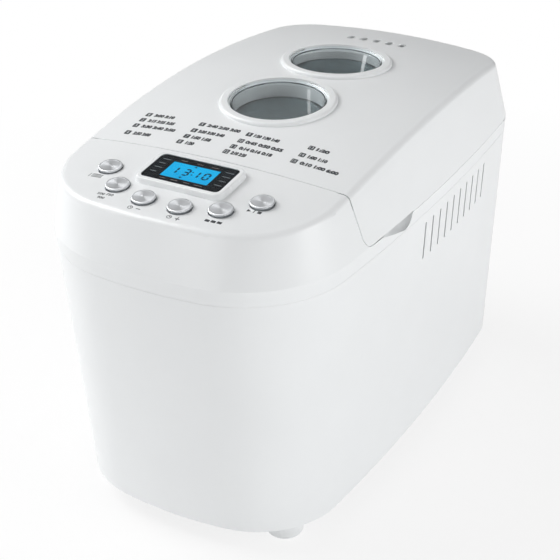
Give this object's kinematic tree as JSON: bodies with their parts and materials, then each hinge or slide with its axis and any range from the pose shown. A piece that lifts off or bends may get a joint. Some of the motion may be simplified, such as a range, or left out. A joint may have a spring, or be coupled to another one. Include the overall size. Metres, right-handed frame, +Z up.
{
  "type": "bread machine",
  "caption": "Countertop bread machine with a hinged lid, round viewing windows, a sloping control panel, a removable pan, kneading paddles and a belt drive.",
  "frame": {"origin": "on the floor, at the middle of the bounding box", "axes": "+Z up, the front with the control panel faces -Y, +X is to the right of a person who faces the control panel"},
  "size_m": [0.241, 0.43, 0.3009],
  "materials": {
    "body_white": "moulded gloss",
    "lid_white": "moulded gloss",
    "foot_white": "moulded",
    "base_grey": "moulded",
    "window_clear": "clear",
    "frame_white": "moulded gloss",
    "mask_black": "printed",
    "lens_clear": "clear",
    "screen_blue": "backlit",
    "button_metal": "spun",
    "board_green": "board",
    "dark_plastic": "moulded",
    "white_plastic": "moulded",
    "ceramic": "fired",
    "sheet_aluminium": "rolled",
    "sheet_steel": "pressed",
    "steel": "turned",
    "heater_steel": "heat darkened",
    "nonstick": "non-stick coating",
    "bronze": "sintered",
    "belt_rubber": "matt",
    "laminate": "stacked"
  },
  "bodies": {
    "machine": {"lower_body": "body_white", "base_plate": "base_grey", "feet": "foot_white", "base_screws": "steel", "cable_gland": "base_grey", "upper_housing": "body_white", "display_frame": "frame_white", "display_mask": "mask_black", "display_lens": "lens_clear", "display_panel": "screen_blue", "display_holder": "white_plastic", "control_board": "board_green", "board_screws": "steel", "push_switches": "dark_plastic", "oven_chamber": "sheet_aluminium", "temperature_sensor": "steel", "thermal_fuse": "white_plastic", "heating_element": "heater_steel", "heater_clips": "sheet_steel", "heater_bushings": "ceramic", "pan_clips": "sheet_steel", "drive_bracket": "sheet_steel", "bearing_bushes": "bronze", "drive_belt": "belt_rubber", "link_belt": "belt_rubber", "motor_mount": "sheet_steel", "motor_stack": "laminate", "motor_bells": "sheet_aluminium", "run_capacitor": "white_plastic", "power_board": "board_green"},
    "lid": {"lid_cover": "lid_white", "lid_liner": "sheet_aluminium", "lid_screws": "steel", "hinge_pins": "steel", "window_front": "window_clear", "window_rear": "window_clear"},
    "pan": {"bread_pan": "nonstick", "pan_foot": "sheet_steel", "pan_ears": "sheet_steel", "pan_bushes": "bronze"},
    "pan_handle": {"pan_handle": "steel"},
    "paddle_front": {"paddle_shaft_front": "steel", "kneading_paddle_front": "nonstick"},
    "paddle_rear": {"paddle_shaft_rear": "steel", "kneading_paddle_rear": "nonstick"},
    "drive_front": {"drive_shaft_front": "steel", "drive_dog_front": "sheet_steel", "front_pulley": "dark_plastic"},
    "drive_rear": {"drive_shaft_rear": "steel", "drive_dog_rear": "sheet_steel", "rear_pulley": "dark_plastic"},
    "motor_rotor": {"motor_shaft": "steel", "motor_pulley": "steel"},
    "button_menu": {"button_menu": "button_metal"},
    "button_weight": {"button_weight": "button_metal"},
    "button_time_down": {"button_time_down": "button_metal"},
    "button_time_up": {"button_time_up": "button_metal"},
    "button_crust": {"button_crust": "button_metal"},
    "button_start": {"button_start": "button_metal"}
  },
  "joints": [
    {"name": "lid_hinge", "type": "hinge", "parent": "machine", "child": "lid", "pos_m": [0, 0.2095, 0.24], "axis": [-1, 0, 0], "range_deg": [0, 88]},
    {"name": "pan_lift", "type": "slide", "parent": "machine", "child": "pan", "axis": [0, 0, 1], "range_m": [0, 0.01]},
    {"name": "pan_handle_swing", "type": "hinge", "parent": "pan", "child": "pan_handle", "pos_m": [0, 0.0265, 0.208], "axis": [0, 1, 0], "range_deg": [0, 153]},
    {"name": "drive_front_spin", "type": "hinge", "parent": "machine", "child": "drive_front", "pos_m": [0, -0.0222, 0.096], "axis": [0, 0, 1], "continuous": true},
    {"name": "drive_rear_spin", "type": "hinge", "parent": "machine", "child": "drive_rear", "pos_m": [0, 0.0752, 0.096], "axis": [0, 0, 1], "continuous": true},
    {"name": "motor_spin", "type": "hinge", "parent": "machine", "child": "motor_rotor", "pos_m": [0, -0.148, 0.096], "axis": [0, 0, 1], "continuous": true},
    {"name": "paddle_front_spin", "type": "hinge", "parent": "pan", "child": "paddle_front", "pos_m": [0, -0.0222, 0.096], "axis": [0, 0, 1], "continuous": true},
    {"name": "paddle_rear_spin", "type": "hinge", "parent": "pan", "child": "paddle_rear", "pos_m": [0, 0.0752, 0.096], "axis": [0, 0, 1], "continuous": true},
    {"name": "press_menu", "type": "slide", "parent": "machine", "child": "button_menu", "axis": [0, 0.1248, -0.9922], "range_m": [0, 0.001], "stiffness_N_per_m": 800, "springref_m": -0.001},
    {"name": "press_weight", "type": "slide", "parent": "machine", "child": "button_weight", "axis": [0, 0.1248, -0.9922], "range_m": [0, 0.001], "stiffness_N_per_m": 800, "springref_m": -0.001},
    {"name": "press_time_down", "type": "slide", "parent": "machine", "child": "button_time_down", "axis": [0, 0.1248, -0.9922], "range_m": [0, 0.001], "stiffness_N_per_m": 800, "springref_m": -0.001},
    {"name": "press_time_up", "type": "slide", "parent": "machine", "child": "button_time_up", "axis": [0, 0.1248, -0.9922], "range_m": [0, 0.001], "stiffness_N_per_m": 800, "springref_m": -0.001},
    {"name": "press_crust", "type": "slide", "parent": "machine", "child": "button_crust", "axis": [0, 0.1248, -0.9922], "range_m": [0, 0.001], "stiffness_N_per_m": 800, "springref_m": -0.001},
    {"name": "press_start", "type": "slide", "parent": "machine", "child": "button_start", "axis": [0, 0.1248, -0.9922], "range_m": [0, 0.001], "stiffness_N_per_m": 800, "springref_m": -0.001}
  ],
  "couplings": [
    {"joint": "drive_rear_spin", "follows": "drive_front_spin", "ratio": 1},
    {"joint": "paddle_front_spin", "follows": "drive_front_spin", "ratio": 1},
    {"joint": "paddle_rear_spin", "follows": "drive_front_spin", "ratio": 1},
    {"joint": "motor_spin", "follows": "drive_front_spin", "ratio": 5}
  ]
}
